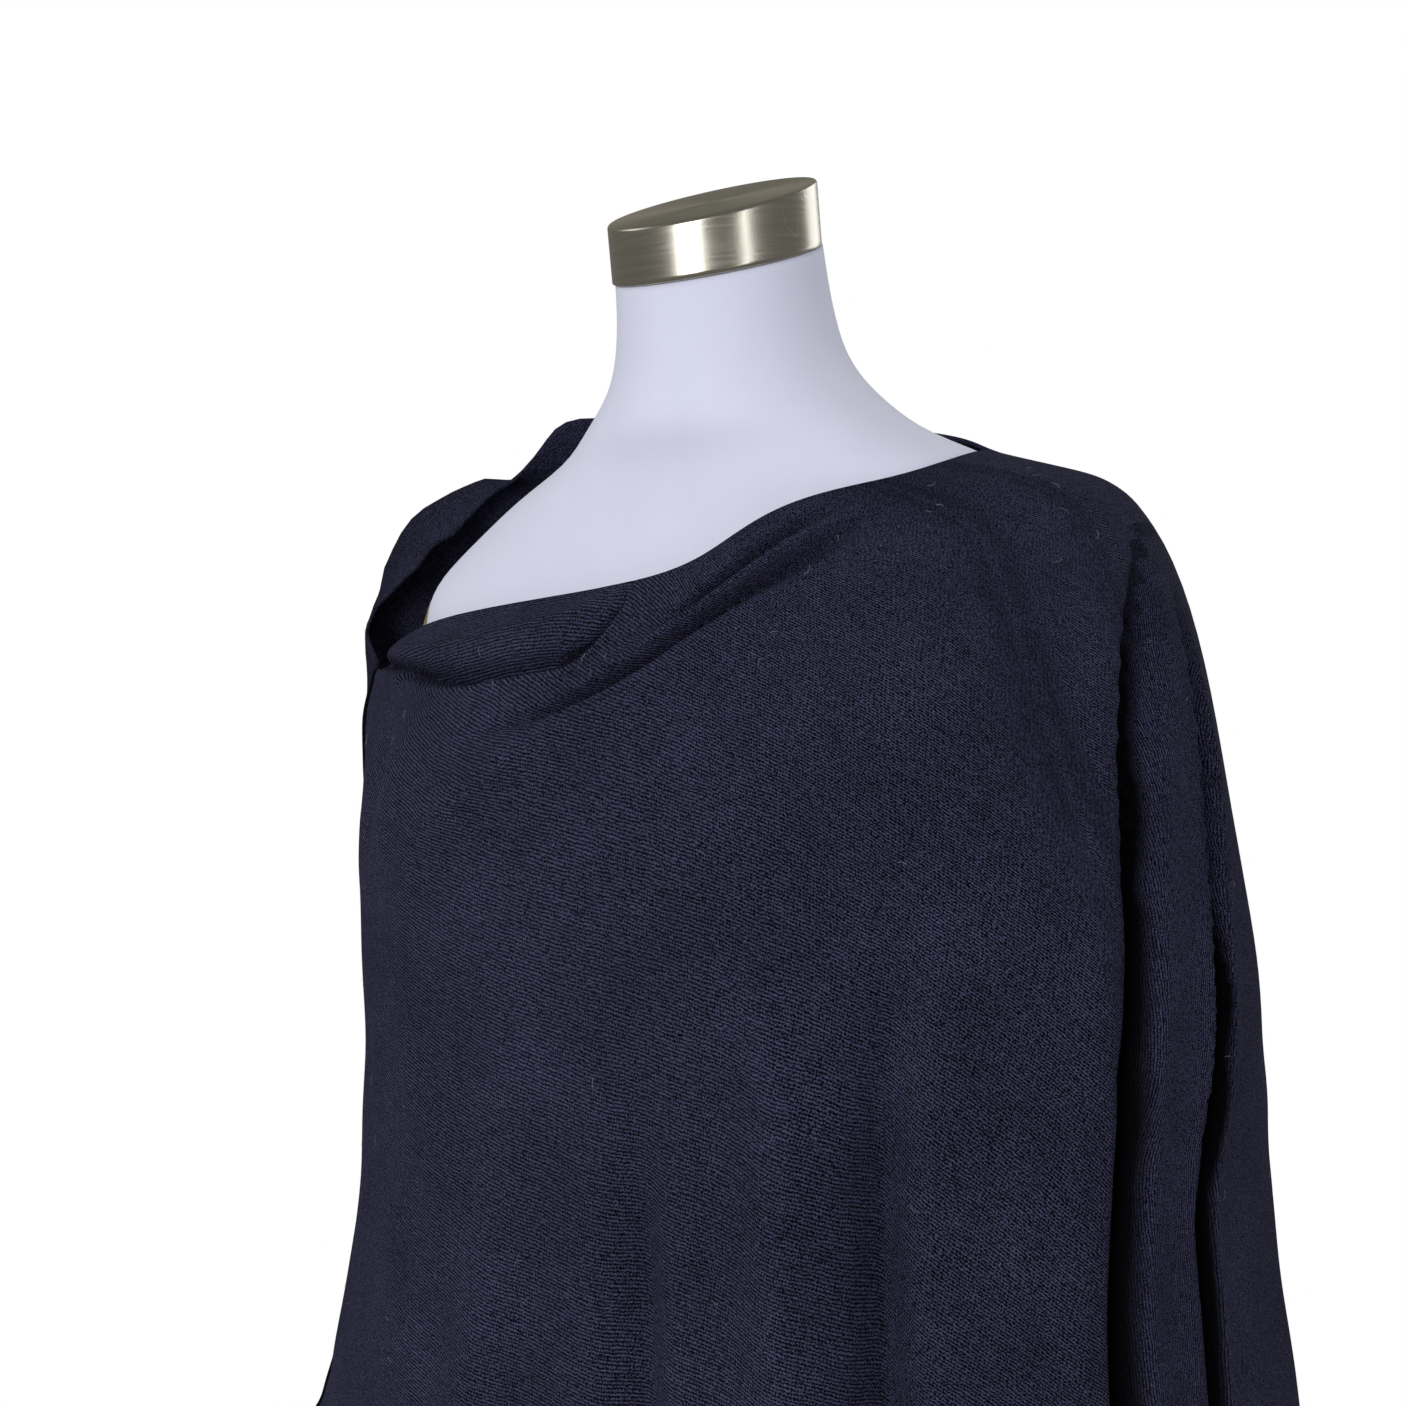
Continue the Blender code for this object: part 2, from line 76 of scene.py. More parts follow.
SHOULDER_RING = (
    (-90, -0.240, -0.020, 1.256), (-60, -0.158, -0.088, 1.268), (-30, -0.074, -0.130, 1.282),
    (0, 0.002, -0.128, 1.295), (30, 0.064, -0.112, 1.316), (60, 0.130, -0.070, 1.342),
    (90, 0.171, 0.003, 1.363), (120, 0.148, 0.075, 1.354), (150, 0.080, 0.110, 1.357),
    (180, -0.005, 0.120, 1.362), (210, -0.085, 0.120, 1.352), (238, -0.175, 0.108, 1.330),
    (251, -0.238, 0.080, 1.308), (261, -0.262, 0.034, 1.278), (270, -0.240, -0.020, 1.256),
)
ARM_RING = (
    (-90, -0.242, -0.022, 1.222), (-60, -0.178, -0.095, 1.232), (-30, -0.094, -0.144, 1.240),
    (0, -0.002, -0.146, 1.250), (30, 0.083, -0.132, 1.268), (60, 0.160, -0.092, 1.293),
    (90, 0.204, 0.002, 1.328), (120, 0.190, 0.084, 1.312), (150, 0.105, 0.122, 1.306),
    (180, -0.005, 0.130, 1.298), (210, -0.105, 0.130, 1.290), (238, -0.200, 0.112, 1.270),
    (251, -0.243, 0.075, 1.250), (261, -0.254, 0.026, 1.232), (270, -0.242, -0.022, 1.222),
)
# outline of the hanging rings: angle, share of the reach to the side, share of the reach to front or back
BODY_OUTLINE = (
    (-90, -1.00, -0.10), (-60, -0.80, -0.54), (-30, -0.45, -0.88), (0, 0.00, -1.00), (30, 0.45, -0.93),
    (60, 0.82, -0.64), (90, 1.00, 0.00), (120, 0.88, 0.58), (150, 0.50, 0.92), (180, 0.00, 1.00),
    (210, -0.50, 0.90), (240, -0.84, 0.55), (256, -0.97, 0.22), (270, -1.00, -0.10),
)
# height of each hanging ring and its reach to the seam side, fold side, front and back
BODY_RINGS = (
    (1.170, 0.250, 0.241, 0.160, 0.140),
    (1.030, 0.264, 0.245, 0.174, 0.150),
    (0.900, 0.302, 0.252, 0.186, 0.165),
)
HEM_REACH = (0.360, 0.262, 0.205, 0.190)
HEM_HEIGHT = ((-90, 0.80), (-10, 0.50), (90, 0.75), (176, 0.51), (270, 0.80))
RING_DEPTHS = (0.0, 0.035, 0.085, 0.165, 0.305, 0.435, 0.750)

# paths of the two narrow valleys past the shoulder: angle, distance down
MAIN_VALLEY = (
    (95.5, 0.078), (87.8, 0.102), (78.3, 0.128), (71.2, 0.160), (68.0, 0.190), (65.7, 0.220), (65.8, 0.260),
    (65.6, 0.300), (63.7, 0.400), (60.0, 0.750),
)
SIDE_VALLEY = (
    (101, 0.096), (94, 0.126), (87, 0.160), (80.5, 0.220), (77.8, 0.300), (77.3, 0.400), (79, 0.750),
)
# folds: path of (angle, distance down), height of the fold (troughs are negative), half width, and the
# shares of the path over which it rises and dies away
FOLDS = (
    # the deep valley that falls from the front of the shoulder, and the narrow one beside the arm
    (MAIN_VALLEY, -0.023, 0.0076, 0.10, 0),
    (((82, 0.095), (72, 0.130), (64.5, 0.165), (59.5, 0.22), (58.5, 0.30), (57.5, 0.40), (54.5, 0.75)),
     0.0028, 0.0080, 0.12, 0),
    (SIDE_VALLEY, -0.020, 0.0045, 0.08, 0),
    # lower front: a valley beside the flat panel, the swell left of it and the soft ones below the bust
    (((48, 0.140), (38, 0.180), (34, 0.250), (34, 0.340), (33, 0.40), (30, 0.75)), -0.020, 0.013, 0.25, 0),
    (((18, 0.150), (22, 0.220), (22, 0.300), (19, 0.75)), 0.013, 0.018, 0.20, 0),
    (((6, 0.190), (3, 0.280), (2, 0.360), (-2, 0.75)), -0.014, 0.013, 0.25, 0),
    (((-14, 0.250), (-22, 0.400), (-30, 0.75)), 0.010, 0.020, 0.30, 0),
    # the cowl: the rolled band, the crease under it, and the folds that fan out from the shoulder
    (((-84, 0.006), (-68, 0.010), (-40, 0.013), (-20, 0.012), (-7, 0.010)), 0.0070, 0.0080, 0.20, 0.15),
    (((-93, -0.002), (-80, 0.007), (-68, 0.014), (-53, 0.0215), (-36, 0.026), (-20, 0.0265), (-9, 0.0195),
      (-6, 0.005)), -0.0125, 0.0033, 0.10, 0.05),
    (((-69, 0.021), (-61, 0.0165), (-54, 0.025)), -0.005, 0.0028, 0.20, 0.20),
    (((-34, 0.060), (-18, 0.053), (-4, 0.045), (18, 0.030), (41, 0.0235), (57, 0.0175), (67, 0.015)),
     -0.0110, 0.0044, 0.30, 0.30),
    (((2, 0.028), (22, 0.018), (38, 0.013), (50, 0.010), (62, 0.009)), -0.0080, 0.0034, 0.30, 0.35),
    (((-14, 0.046), (6, 0.032), (30, 0.0205), (50, 0.015), (66, 0.012)), 0.0045, 0.0050, 0.30, 0.30),
    (((-44, 0.122), (-36, 0.114), (-20, 0.076), (-3, 0.058), (18, 0.047), (40, 0.036)),
     0.006, 0.013, 0.30, 0.40),
    (((-66, 0.040), (-60, 0.090), (-60, 0.150)), -0.008, 0.022, 0.30, 0.30),
    # hidden sides
    (((118, 0.110), (124, 0.200), (126, 0.400), (128, 0.75)), -0.016, 0.012, 0.15, 0),
    (((146, 0.180), (150, 0.300), (152, 0.75)), 0.009, 0.024, 0.25, 0),
    (((172, 0.150), (176, 0.300), (178, 0.75)), -0.012, 0.015, 0.25, 0),
    (((205, 0.130), (208, 0.300), (206, 0.75)), -0.009, 0.016, 0.25, 0),
    (((238, 0.060), (236, 0.160), (236, 0.300), (238, 0.75)), -0.013, 0.014, 0.15, 0),
    (((205, 0.040), (222, 0.060), (240, 0.085)), -0.007, 0.010, 0.30, 0.30),
    (((238, 0.034), (246, 0.030), (253, 0.034)), -0.010, 0.008, 0.30, 0.30),
    (((254, 0.020), (258, 0.034), (260, 0.055)), 0.007, 0.006, 0.30, 0.30),
)
# a fold's section: its crest, the low lips beside it and their reach in half widths; steps along its path
FOLD_CREST = 1.15
FOLD_LIP = 0.30
FOLD_LIP_REACH = 2.4
FOLD_STEPS = 24
# waves of slack knit: radians a metre round the body and down it, start, and share of the height
SLACK_WAVES = (
    (65.1, 25.2, 0.4, 0.5), (-39.9, 48.3, 2.1, 0.6), (98.7, -35.7, 4.0, 0.35),
    (23.1, 86.1, 1.2, 0.45), (140.7, 18.9, 5.1, 0.25), (-111.3, -77.7, 3.3, 0.2),
)
SLACK_HEIGHT = 0.0007
SLACK_START = 0.05
# how the back's neck edge rolls in toward the form from the crest: angle, x, y, z, and share of the roll
EDGE_ROLL = (
    (-90, 0, 0, 0, 0), (180, 0, 0, 0, 0), (227, 0, 0, 0, 0), (233, 0.003, -0.003, -0.004, 0.5),
    (240, 0.013, -0.012, -0.011, 1.0), (247, 0.030, -0.024, -0.026, 1.0), (254, 0.034, -0.016, -0.016, 1.0),
    (260, 0.011, -0.007, -0.002, 0.8), (266, 0.003, 0.001, 0.001, 0.4), (270, 0, 0, 0, 0),
)
ROLL_REACH = 0.030
# lip beside the deep valley: distance down, angle, and how far it is pulled over the valley
VALLEY_LIP = (
    (0.100, 85.0, 0.0), (0.135, 74.5, 0.001), (0.160, 68.5, 0.002), (0.220, 62.8, 0.002),
    (0.300, 61.5, 0.002), (0.400, 60.0, 0.002), (0.750, 57.0, 0.002),
)
LIP_WIDTH = 0.0090
# where the grid is finer: the places, how far each spreads, and how much finer
FRONT_CROWDING = ((-84.0, -8.0, 66.0, 84.0), 6.0, 1.8)
BACK_CROWDING = ((122.0, 176.0, 236.0, 262.0), 8.0, 1.0)
NECK_CROWDING = ((0.022,), 0.030, 6.0)
# the grid's front part ends and its back part begins at this angle
MEETING_ANGLE = 100.0
# seam: points across it, height of its edges and of its ridge over the cloth, and depth under it
SEAM_POINTS = 9
SEAM_RISE = 0.0011
SEAM_RIDGE = 0.0014
SEAM_UNDER = 0.0012

# dress form: height, half width, half depth, middle's y, squareness of the section
FORM_SECTIONS = (
    (0.720, 0.180, 0.120, 0.010, 2.10), (0.820, 0.176, 0.118, 0.008, 2.10),
    (0.920, 0.152, 0.106, 0.006, 2.10), (1.000, 0.130, 0.094, 0.004, 2.10),
    (1.080, 0.148, 0.107, -0.002, 2.20), (1.165, 0.172, 0.124, -0.008, 2.30),
    (1.230, 0.186, 0.113, 0.002, 2.40), (1.290, 0.196, 0.101, 0.014, 2.40),
    (1.330, 0.189, 0.092, 0.018, 2.30), (1.350, 0.167, 0.082, 0.018, 2.10),
    (1.374, 0.128, 0.074, 0.015, 2.05), (1.388, 0.1005, 0.071, 0.011, 2.00),
    (1.402, 0.0815, 0.071, 0.0075, 2.00), (1.420, 0.0650, 0.066, 0.006, 2.00),
    (1.445, 0.0555, 0.060, 0.004, 2.00), (1.482, 0.0522, 0.0560, 0.002, 2.00),
)
FORM_TOP = 1.4805
FORM_ROWS = 180
FORM_COLUMNS = 160
# height over which the form's top tilts, and the size of its flat underside as a share of the lowest section
FORM_TILT_REACH = 0.05
FORM_FOOT_SHARE = 0.97
# cap: width, depth as a share of it, heights at the middle, rise per metre of depth, and rounding
CAP_RADIUS = 0.0530
CAP_DEPTH_SHARE = 1.05
CAP_BOTTOM = 1.4810
CAP_TOP = 1.5120
CAP_BOTTOM_TILT = 0.200
CAP_TOP_TILT = 0.255
CAP_ROUND = 0.0018
CAP_BEVEL = 0.0006
CAP_ROWS = 12
CAP_ROUND_ROWS = 6
CAP_COLUMNS = 160

# stand: base plate's thickness and rounding, the socket's radius and rounding, and the pole's bevel
PLATE_THICK = 0.010
PLATE_ROUND = 0.003
SOCKET_RADIUS = 0.024
SOCKET_ROUND = 0.002
POLE_BEVEL = 0.0004

# loose fibres: how many, seed of their draws, points along each and sides round it
LINT_COUNT = 120
LINT_SEED = 7
LINT_POINTS = 7
LINT_SIDES = 3

# knit: length of a stitch and width of a cord in metres, the two ends of its colour, the painted shade deep
# in a valley, and the colour of its fuzz
STITCH = 0.00130
ROW = 0.00185
KNIT_DARK = (0.0006, 0.0006, 0.0022)
KNIT_LIGHT = (0.0850, 0.0830, 0.1700)
KNIT_VALLEY_SHADE = (0.0003, 0.0003, 0.0004)
KNIT_FUZZ = (0.150, 0.150, 0.200)
# what makes the knit pale: cords, legs of the stitches, beads, dark gaps, heather and grain
CORD_SHARE = 0.26
LEG_SHARE = 0.20
BEAD_SHARE = 0.10
GAP_SHARE = 0.62
HEATHER_SHARE = 0.34
GRAIN_SHARE = 2.60
# painted shade in the bottoms of the two narrow valleys: path, degrees to the left and to the right of it,
# and length over which the painted shade begins
SHADED_VALLEYS = ((MAIN_VALLEY, 3.2, 3.3, 0.05), (SIDE_VALLEY, 1.8, 2.4, 0.12))
# distance from a valley in half widths of its painted shade: the most that is kept, what is added before the
# valley opens, and between which two the painted shade fades out
VALLEY_SHADE_FAR = 3.0
VALLEY_SHADE_SHUT = 1.1
VALLEY_SHADE_FADE = (0.60, 0.95)
# slant of the cords at each angle, and how far down the rolled band reaches at each angle
KNIT_SLANT = (
    (-90, 0.60), (-60, 0.42), (-30, 0.22), (0, 0.20), (25, 0.40), (45, 0.80), (62, 1.10), (270, 0.90),
)
BAND_REACH = (
    (-90, 0.000), (-80, 0.007), (-68, 0.014), (-53, 0.0215), (-36, 0.026), (-20, 0.0265), (-9, 0.0195),
    (-6, 0.0), (270, 0.0),
)
# the knit is measured from this angle and this distance down and leans by this share as it falls; in the
# rolled band it is moved by so many metres
KNIT_START = 20.0
KNIT_LEVEL = 0.20
KNIT_LEAN = 0.18
BAND_MOVE = 0.01
# past the main valley the cords turn by so many degrees, and the knit is finer along and across them; above
# the valley's start they turn only past a place at the back
PANEL_TURN = 88.0
PANEL_TURN_BACK = 200.0
PANEL_ALONG = 1.15
PANEL_ACROSS = 1.60

# camera: where it stands round the form, how far from the pole, how high, and how it is held
CAMERA_AZIMUTH = math.radians(30.0)
CAMERA_DISTANCE = 1.050
CAMERA_SIDE = -0.0265
CAMERA_HEIGHT = 1.386
CAMERA_PITCH = math.radians(6.9)
CAMERA_ROLL = math.radians(5.0)
CAMERA_LENS = 52.2
CAMERA_SENSOR = 36.0

# lamps: name, direction round the form in degrees, distance, height, width, height of the face, and power
LAMPS = (
    ("front_lamp", 4.0, 2.3, 2.0, 1.1, 1.4, 28.0),
    ("side_lamp", 66.0, 2.4, 1.55, 0.16, 1.3, 5.5),
    ("top_lamp", -75.0, 2.0, 2.8, 1.0, 1.0, 5.0),
    ("back_lamp", 165.0, 2.6, 2.0, 1.4, 1.8, 15.0),
)
LAMP_TARGET = (0.0, 0.0, 1.25)
# surroundings as the cloth, as metal and as the camera see them: colour and strength
AROUND_CLOTH = ((0.95, 0.97, 1.0, 1.0), 0.38)
AROUND_METAL = ((1.0, 0.97, 0.88, 1.0), 0.20)
AROUND_SEEN = ((1.0, 1.0, 1.0, 1.0), 1.0)

# floor: radius, corners of its rim, and how far it lies under the base
FLOOR_RADIUS = 1.6
FLOOR_CORNERS = 96
FLOOR_DROP = 0.0002


# ---------------------------------------------------------------- curves and surfaces

def spline(keys, values, places):
    """Natural cubic spline through values, one for each key, read at every place."""
    keys = np.asarray(keys, float)
    values = np.asarray(values, float)
    wide = (1,) * (values.ndim - 1)
    step = np.diff(keys)
    slope = (values[1:] - values[:-1]) / step.reshape((-1,) + wide)
    system = np.eye(len(keys))
    inner = np.arange(1, len(keys) - 1)
    system[inner, inner - 1] = step[:-1]
    system[inner, inner] = 2.0 * (step[:-1] + step[1:])
    system[inner, inner + 1] = step[1:]
    right = np.zeros_like(values)
    right[1:-1] = 6.0 * (slope[1:] - slope[:-1])
    bend = np.linalg.solve(system, right.reshape(len(keys), -1)).reshape(values.shape)
    places = np.asarray(places, float)
    cell = np.clip(np.searchsorted(keys, places, side="right") - 1, 0, len(keys) - 2)
    width = step[cell].reshape((-1,) + wide)
    after = ((places - keys[cell]) / step[cell]).reshape((-1,) + wide)
    before = 1.0 - after
    bent = (before**3 - before) * bend[cell] + (after**3 - after) * bend[cell + 1]
    return before * values[cell] + after * values[cell + 1] + bent * width**2 / 6.0


def ring(table, angles):
    """The columns after the first of a ring's table, at these angles."""
    table = np.array(table, float)
    return spline(table[:, 0], table[:, 1:], angles)


def smooth_step(low, high, value):
    """0 below low, 1 above high, and 3s^2 - 2s^3 between."""
    share = np.clip((value - low) / (high - low), 0.0, 1.0)
    return share * share * (3.0 - 2.0 * share)


def body_ring(outline, height, seam_side, fold_side, front, back):
    """A hanging ring: the outline stretched to its reach on each of the four sides."""
    x = outline[:, 0] * np.where(outline[:, 0] < 0.0, seam_side, fold_side)
    y = outline[:, 1] * np.where(outline[:, 1] < 0.0, front, back)
    return np.stack([x, y, np.broadcast_to(height, x.shape)], axis=-1)


def plain_cloth(angles, downs):
    """Unfolded cloth: a spline down through seven rings, at each angle."""
    outline = ring(BODY_OUTLINE, angles)
    rings = [ring(NECK_EDGE, angles), ring(SHOULDER_RING, angles), ring(ARM_RING, angles)]
    rings += [body_ring(outline, *sizes) for sizes in BODY_RINGS]
    rings.append(body_ring(outline, np.interp(angles, *zip(*HEM_HEIGHT)), *HEM_REACH))
    roll = np.array(EDGE_ROLL, float)
    roll = np.stack([np.interp(angles, roll[:, 0], column) for column in roll[:, 1:].T], axis=-1)
    near = np.clip(1.0 - downs / ROLL_REACH, 0.0, 1.0)[:, None, None] ** 2
    held = 1.0 - smooth_step(0.4 * ROLL_REACH, 1.8 * ROLL_REACH, downs)[:, None, None]
    plain = spline(RING_DEPTHS, np.array(rings), downs)
    return plain + held * roll[:, 3:] * (rings[0] - plain) + near * roll[:, :3]


def unit(vectors):
    """Vectors scaled to a length of one."""
    return vectors / np.linalg.norm(vectors, axis=-1, keepdims=True)


def outward(points):
    """Unit normals of a grid of points: down the cloth crossed with round the body."""
    across = np.gradient(points, axis=1)
    down = np.gradient(points, axis=0)
    return unit(np.cross(down, across))


def fold_height(angles, downs):
    """Sum of the folds: rise * fade * exp(-(distance from path / width)^2), with low lips beside it."""
    place = np.stack(np.meshgrid(angles * METRES_PER_DEGREE, downs), axis=-1)
    height = np.zeros(place.shape[:2])
    for path, rise, width, grow, end_share in FOLDS:
        path = np.array(path, float)
        steps = np.diff(path * (METRES_PER_DEGREE, 1.0), axis=0)
        run = np.concatenate([[0.0], np.cumsum(np.linalg.norm(steps, axis=1))])
        path = spline(run, path, np.linspace(0.0, run[-1], FOLD_STEPS)) * (METRES_PER_DEGREE, 1.0)
        nearest = np.full(height.shape, np.inf)
        along = np.zeros(height.shape)
        walked = 0.0
        for start, end in zip(path[:-1], path[1:]):
            length = np.linalg.norm(end - start)
            share = np.clip((place - start) @ (end - start) / length**2, 0.0, 1.0)
            distance = np.linalg.norm(place - start - share[..., None] * (end - start), axis=-1)
            closer = distance < nearest
            nearest = np.where(closer, distance, nearest)
            along = np.where(closer, walked + share * length, along)
            walked += length
        fade = smooth_step(0.0, grow, along / walked)
        if end_share:
            fade = fade * (1.0 - smooth_step(1.0 - end_share, 1.0, along / walked))
        lips = FOLD_LIP * np.exp(-((nearest / (FOLD_LIP_REACH * width)) ** 2))
        height += rise * fade * (FOLD_CREST * np.exp(-((nearest / width) ** 2)) - lips)
    return height


def slack(angles, downs):
    """Small uneven swells of slack knit: a few slanted waves, about half a millimetre high."""
    across, down = np.meshgrid(angles * METRES_PER_DEGREE, downs)
    height = np.zeros_like(across)
    for turns_round, turns_down, start, share in SLACK_WAVES:
        height += share * np.sin(across * turns_round + down * turns_down + start)
    return SLACK_HEIGHT * height * smooth_step(0.0, SLACK_START, down)


def overhang(angles, downs, plain):
    """Sideways pull that folds the cloth on the left of the deep valley over its mouth."""
    path = np.array(VALLEY_LIP)
    middle = np.interp(downs, path[:, 0], path[:, 1])[:, None]
    from_lip = (angles[None, :] - middle) * METRES_PER_DEGREE
    pull = np.interp(downs, path[:, 0], path[:, 2])[:, None] * np.exp(-((from_lip / LIP_WIDTH) ** 2))
    return unit(np.gradient(plain, axis=1)) * pull[..., None]


def cloth(angles, downs):
    """Points and outward normals of the middle of the folded cloth."""
    plain = plain_cloth(angles, downs)
    raised = fold_height(angles, downs) + slack(angles, downs)
    points = plain + outward(plain) * raised[..., None] + overhang(angles, downs, plain)
    return points, outward(points)


def crowded_places(first, last, count, crowded, spread, weight):
    """Places from first to last that lie closer together near the crowded ones."""
    fine = np.linspace(first, last, 4000)
    density = 1.0 + sum(weight * np.exp(-(((fine - centre) / spread) ** 2)) for centre in crowded)
    total = np.cumsum(density)
    total = (total - total[0]) / (total[-1] - total[0])
    return np.interp(np.linspace(0.0, 1.0, count), total, fine)


# ---------------------------------------------------------------- meshes

def mesh_piece(name, vertices, faces, uvs=None):
    """An object at the origin from points and quads or polygons, with a UV for each face corner."""
    mesh = bpy.data.meshes.new(name)
    faces = faces.tolist() if isinstance(faces, np.ndarray) else faces
    mesh.from_pydata(np.asarray(vertices).tolist(), [], faces)
    if uvs is not None:
        layer = mesh.uv_layers.new(name="cut")
        layer.data.foreach_set("uv", np.ascontiguousarray(uvs, dtype=np.float32).ravel())
    mesh.polygons.foreach_set("use_smooth", [True] * len(mesh.polygons))
    mesh.update()
    piece = bpy.data.objects.new(name, mesh)
    bpy.context.scene.collection.objects.link(piece)
    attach(piece, "root")
    return piece


def wall_faces(rows, columns):
    """Quads of an outer grid, an inner grid turned round, and the rim that joins them."""
    number = np.arange(rows * columns).reshape(rows, columns)
    far = number + rows * columns
    faces = np.stack([number[:-1, :-1], number[1:, :-1], number[1:, 1:], number[:-1, 1:]], -1).reshape(-1, 4)
    under = np.stack([far[:-1, :-1], far[:-1, 1:], far[1:, 1:], far[1:, :-1]], -1).reshape(-1, 4)
    edge = np.concatenate([number[0], number[1:, -1], number[-1, -2::-1], number[-2:0:-1, 0]])
    onward = np.roll(edge, -1)
    rim = np.stack([edge, onward, onward + rows * columns, edge + rows * columns], -1)
    return np.concatenate([faces, under, rim])


def wall_piece(name, outer, inner, cut):
    """A closed wall between two grids, with its place in the flat cut as UV."""
    faces = wall_faces(*outer.shape[:2])
    flat = np.concatenate([cut.reshape(-1, 2), cut.reshape(-1, 2)])
    vertices = np.concatenate([outer.reshape(-1, 3), inner.reshape(-1, 3)])
    return mesh_piece(name, vertices, faces, flat[faces.ravel()])


def ring_piece(name, rings):
    """A solid with closed rings of points for its sides and a flat face at each end."""
    rings = np.array(rings)
    rows, columns = rings.shape[:2]
    number = np.arange(rows * columns).reshape(rows, columns)
    onward = np.roll(number, -1, axis=1)
    sides = np.stack([number[:-1], onward[:-1], onward[1:], number[1:]], -1).reshape(-1, 4)
    ends = [number[0, ::-1].tolist(), number[-1].tolist()]
    return mesh_piece(name, rings.reshape(-1, 3), sides.tolist() + ends)


# ---------------------------------------------------------------- shader helpers

class Number:
    """A socket that holds a number, with the operators of plain arithmetic."""

    def __init__(self, finish, socket):
        self.finish = finish
        self.socket = socket

    def math(self, operation, *others):
        values = {place: other for place, other in enumerate((self, *others))}
        return self.finish.number("ShaderNodeMath", {"operation": operation}, values)

    def __add__(self, other):
        return self.math("ADD", other)

    def __sub__(self, other):
        return self.math("SUBTRACT", other)

    def __mul__(self, other):
        return self.math("MULTIPLY", other)

    def __truediv__(self, other):
        return self.math("DIVIDE", other)

    def __rsub__(self, other):
        return (self * -1.0) + other

    __radd__ = __add__


class Finish:
    """A material and the nodes that make it."""

    def __init__(self, name, **sockets):
        self.material = bpy.data.materials.new(name)
        self.material.use_nodes = True
        self.tree = self.material.node_tree
        self.shader = self.tree.nodes["Principled BSDF"]
        for socket, value in sockets.items():
            self.shader.inputs[socket.replace("_", " ")].default_value = value

    def node(self, kind, settings=None, inputs=None):
        """A node of this type, its settings first, then the values or links of its sockets."""
        made = self.tree.nodes.new(kind)
        for setting, value in (settings or {}).items():
            setattr(made, setting, value)
        for socket, value in (inputs or {}).items():
            self.feed(made.inputs[socket], value)
        return made

    def feed(self, socket, value):
        if isinstance(value, Number):
            self.tree.links.new(value.socket, socket)
        elif isinstance(value, bpy.types.NodeSocket):
            self.tree.links.new(value, socket)
        else:
            socket.default_value = value

    def number(self, kind, settings=None, inputs=None, output=0):
        return Number(self, self.node(kind, settings, inputs).outputs[output])

    def set(self, socket, value):
        self.feed(self.shader.inputs[socket], value)

    def mix(self, factor, first, second, blend="MIX"):
        """Two colours mixed by a number."""
        made = self.node("ShaderNodeMix", {"data_type": "RGBA", "blend_type": blend})
        self.feed(made.inputs[0], factor)
        self.feed(made.inputs[6], first if not isinstance(first, tuple) else (*first, 1.0))
        self.feed(made.inputs[7], second if not isinstance(second, tuple) else (*second, 1.0))
        return made.outputs[2]

    def object_place(self):
        return self.node("ShaderNodeTexCoord").outputs["Object"]

    def noise(self, place, scale, detail=2.0, roughness=0.5, stretch=(1.0, 1.0, 1.0)):
        """Cloudy noise from 0 to 1 at a number of lumps a metre."""
        if stretch != (1.0, 1.0, 1.0):
            place = self.node("ShaderNodeMapping", inputs={"Vector": place, "Scale": stretch}).outputs[0]
        inputs = {"Vector": place, "Scale": scale, "Detail": detail, "Roughness": roughness}
        return self.number("ShaderNodeTexNoise", inputs=inputs)

    def bump(self, height, distance, strength=1.0):
        inputs = {"Height": height, "Distance": distance, "Strength": strength}
        made = self.node("ShaderNodeBump", inputs=inputs)
        self.set("Normal", made.outputs[0])


def range_map(value, low, high, out_low=0.0, out_high=1.0):
    """A number moved from one range to another and kept inside it."""
    inputs = {0: value, 1: low, 2: high, 3: out_low, 4: out_high}
    return value.finish.number("ShaderNodeMapRange", {"clamp": True}, inputs)


# ---------------------------------------------------------------- finishes

